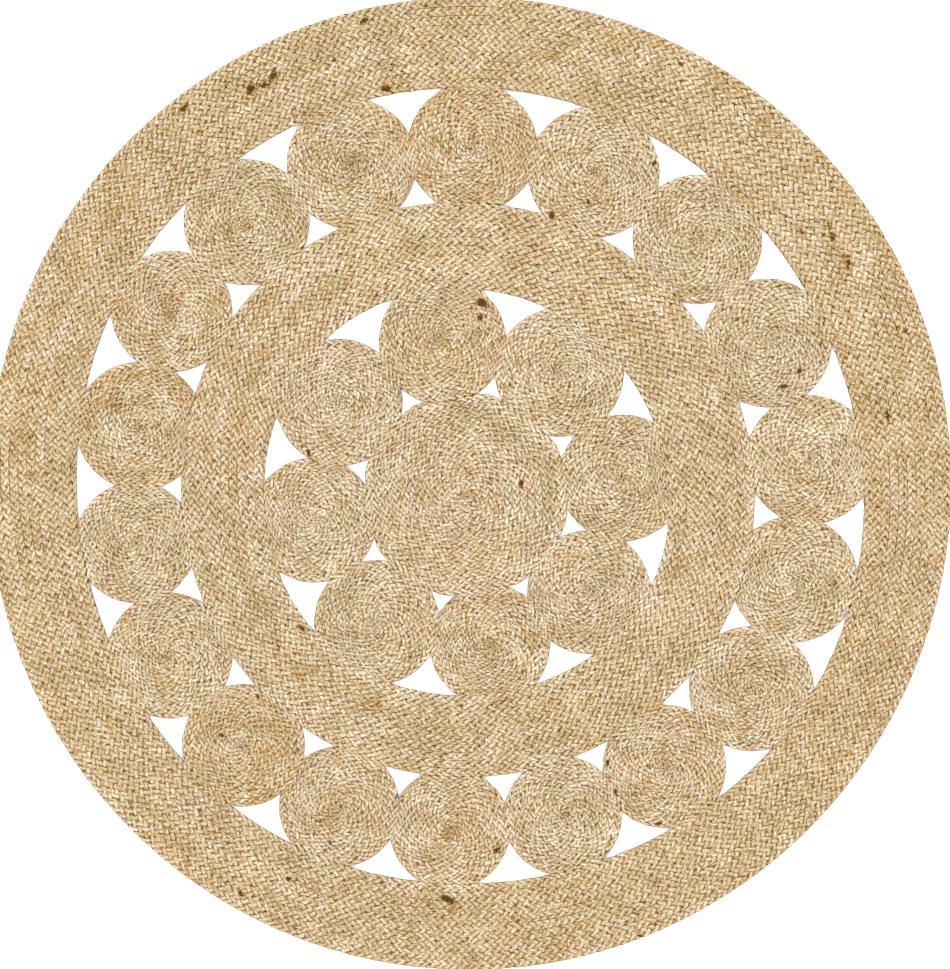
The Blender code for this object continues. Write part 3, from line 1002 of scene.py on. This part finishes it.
class RugStage(bpy.types.PropertyGroup):
    """Floor, light and camera."""

    floor_colour: swatch("Floor", "Colour of the floor", (0.95, 0.95, 0.95))
    floor_glow: brightness("Floor glow", "How much the floor glows, to keep its shadows pale", 0.45)
    sky_light: brightness("Sky light", "Even light from all round", 1.3)
    key_light: brightness("Key light", "Strength of the broad distant lamp", 1.05)
    eye_height: metres("Eye height", "Height of the camera above the floor", 6.0)


# ---------------------------------------- operators


def braid_ring(node, edges, start_deg, lengths, form, lump_length, flow):
    """A ring's braid and its web, a band as wide as the ring, laid round its middle line.

    The lengths of the braid are given by the round at which each ends, the last by None.
    """
    seam, start, last = ring_seam(*edges, start_deg)
    rims = [partial(edge_radius, edge) for edge in edges]
    first = TAIL_CUT * RING_STEP
    rng = np.random.default_rng(SEEDS[node])
    for label, rounds in lengths.items():
        stop = rounds or last - TAIL_CUT * RING_STEP
        path = braid_path(np.zeros(2), seam, start, first, stop, rims, lump_length, 0, rng)
        braid_piece(f"{node}_{label}", [node], path, form, flow, rng)
        first = stop
    web_piece(node + "_web", [node], (0, 0), rims, RING_WEB_FACETS)


class RUG_OT_outer_ring(bpy.types.Operator):
    """Braid the wide outer ring, in two lengths"""

    bl_idname = "rug.outer_ring"
    bl_label = "Outer ring"

    def execute(self, context):
        edges = (OUTER_RING_INSIDE, OUTER_RING_OUTSIDE)
        lengths = {"inner": RING_ROUNDS / 2 + OUTER_RING_SPLIT, "outer": None}
        braid = context.scene.rug_braid
        form = ring_form(braid, braid.outer_lean, OUTER_PALENESS)
        braid_ring("outer_ring", edges, OUTER_RING_START, lengths, form, braid.outer_lump, -1)
        return {"FINISHED"}


class RUG_OT_middle_ring(bpy.types.Operator):
    """Braid the ring between the two rows of coils"""

    bl_idname = "rug.middle_ring"
    bl_label = "Middle ring"

    def execute(self, context):
        edges = (MIDDLE_RING_INSIDE, MIDDLE_RING_OUTSIDE)
        braid = context.scene.rug_braid
        form = ring_form(braid, braid.middle_lean, MIDDLE_PALENESS)
        braid_ring("middle_ring", edges, MIDDLE_RING_START, {"braid": None}, form, braid.middle_lump, 1)
        return {"FINISHED"}


def braid_coil(node, coil, turns, outline, seed):
    """One coil's braid and web. Its last row presses into whatever presses the coil flat."""
    seam, start = coil_seam(coil, turns, outline)
    centre = coil_centre(coil)

    def rim(angle):
        reach = outline(angle)
        pressed = smooth_step((coil.radius_mm * MM - reach) / PRESS_FADE)
        return reach + CONTACT_LAP * pressed

    rng = np.random.default_rng(seed)
    sizes = bpy.context.scene.rug_braid
    ends = (COIL_FIRST_TURN, turns - TAIL_CUT * COIL_STEP)
    path = braid_path(centre, seam, start, *ends, (None, rim), sizes.coil_lump, TIGHTNESS, rng)
    braid = braid_piece(node + "_braid", [node], path, coil_form(sizes, node), 1, rng)
    web_piece(node + "_web", [node], centre, (None, outline), COIL_WEB_FACETS)


def braid_coil_row(stem, coils, inside_of, outside_of, middle_coil):
    """A closed row of small coils, each pressed against its neighbours and the rings."""
    for number, coil in enumerate(coils):
        neighbours = [coils[number - 1], coils[(number + 1) % len(coils)]]
        if middle_coil:
            neighbours.append(middle_coil)
        outline = coil_outline(coil, neighbours, inside_of, outside_of)
        node = f"{stem}_{number + 1:02d}"
        braid_coil(node, coil, SMALL_COIL_TURNS, outline, SEEDS[stem] + number)


class RUG_OT_outer_coils(bpy.types.Operator):
    """Braid the 18 coils between the two rings"""

    bl_idname = "rug.outer_coils"
    bl_label = "Outer coils"

    def execute(self, context):
        braid_coil_row("outer_coil", OUTER_COILS, OUTER_RING_INSIDE, MIDDLE_RING_OUTSIDE, None)
        return {"FINISHED"}


class RUG_OT_inner_coils(bpy.types.Operator):
    """Braid the 8 coils round the middle one"""

    bl_idname = "rug.inner_coils"
    bl_label = "Inner coils"

    def execute(self, context):
        braid_coil_row("inner_coil", INNER_COILS, MIDDLE_RING_INSIDE, None, CENTRE_COIL)
        return {"FINISHED"}


class RUG_OT_centre_coil(bpy.types.Operator):
    """Braid the large coil at the middle"""

    bl_idname = "rug.centre_coil"
    bl_label = "Centre coil"

    def execute(self, context):
        outline = coil_outline(CENTRE_COIL, INNER_COILS, None, None)
        braid_coil("centre_coil", CENTRE_COIL, CENTRE_COIL_TURNS, outline, SEEDS["centre_coil"])
        return {"FINISHED"}


# The photograph's frame: its size and the rug's middle in pixels, and its scale.
FRAME_WIDE = 950
FRAME_HIGH = 969
MIDDLE_X = 469.9
MIDDLE_Y = 483.5
METRES_PER_PIXEL = 0.0012417
SENSOR_MM = 36.0
FURTHEST_SEEN = 50
FLOOR_SIZE = 12.0
KEY_PLACE = (-1.0, 1.2, 2.6)
KEY_TILT = (math.radians(-32), math.radians(-26), 0)
KEY_SPREAD = math.radians(30)


class RUG_OT_stage(bpy.types.Operator):
    """Lay the pale floor, hang the soft lights and set the camera straight above"""

    bl_idname = "rug.stage"
    bl_label = "Floor, light and camera"

    def execute(self, context):
        scene = context.scene
        stage = scene.rug_stage
        bm = bmesh.new()
        bmesh.ops.create_grid(bm, x_segments=1, y_segments=1, size=FLOOR_SIZE / 2)
        floor = finish_mesh(bm, "floor", floor_material())

        world = bpy.data.worlds.new("studio")
        world.use_nodes = True
        background = world.node_tree.nodes["Background"]
        background.inputs["Color"].default_value = (1.0, 1.0, 1.0, 1.0)
        background.inputs["Strength"].default_value = stage.sky_light
        scene.world = world

        lamp = bpy.data.lights.new("key", "SUN")
        lamp.energy = stage.key_light
        lamp.angle = KEY_SPREAD
        key = bpy.data.objects.new("key", lamp)
        key.location = KEY_PLACE
        key.rotation_euler = KEY_TILT
        scene.collection.objects.link(key)

        lens = bpy.data.cameras.new("camera")
        lens.sensor_width = SENSOR_MM
        lens.lens = SENSOR_MM * stage.eye_height / (FRAME_HIGH * METRES_PER_PIXEL)
        lens.clip_end = FURTHEST_SEEN
        camera = bpy.data.objects.new("camera", lens)
        right = (FRAME_WIDE / 2 - MIDDLE_X) * METRES_PER_PIXEL
        down = (FRAME_HIGH / 2 - MIDDLE_Y) * METRES_PER_PIXEL
        camera.location = (right, -down, stage.eye_height)
        scene.collection.objects.link(camera)
        scene.camera = camera
        scene.view_settings.view_transform = "Standard"
        return {"FINISHED"}


class RUG_PT_panel(bpy.types.Panel):
    """Lists the rug's settings and the steps that make it"""

    bl_idname = "RUG_PT_panel"
    bl_label = "Round jute rug"
    bl_space_type = "VIEW_3D"
    bl_region_type = "UI"
    bl_category = "Rug"

    def draw(self, context):
        layout = self.layout
        for group in (context.scene.rug_braid, context.scene.rug_colours, context.scene.rug_stage):
            box = layout.box()
            for name in group.__annotations__:
                box.prop(group, name)
        for operator in OPERATORS:
            layout.operator(operator.bl_idname)


OPERATORS = (
    RUG_OT_outer_ring,
    RUG_OT_middle_ring,
    RUG_OT_outer_coils,
    RUG_OT_inner_coils,
    RUG_OT_centre_coil,
    RUG_OT_stage,
)
SETTINGS = {"rug_braid": RugBraid, "rug_colours": RugColours, "rug_stage": RugStage}


def register():
    """Add the settings, the steps and the panel."""
    for cls in (*SETTINGS.values(), *OPERATORS, RUG_PT_panel):
        bpy.utils.register_class(cls)
    for name, cls in SETTINGS.items():
        setattr(bpy.types.Scene, name, bpy.props.PointerProperty(type=cls))


def unregister():
    """Take them away again."""
    for name in SETTINGS:
        delattr(bpy.types.Scene, name)
    for cls in (RUG_PT_panel, *reversed(OPERATORS), *reversed(SETTINGS.values())):
        bpy.utils.unregister_class(cls)


def main():
    """Make the rug and its stage."""
    register()
    bpy.ops.rug.outer_ring()
    bpy.ops.rug.middle_ring()
    bpy.ops.rug.outer_coils()
    bpy.ops.rug.inner_coils()
    bpy.ops.rug.centre_coil()
    bpy.ops.rug.stage()


if __name__ == "__main__":
    main()
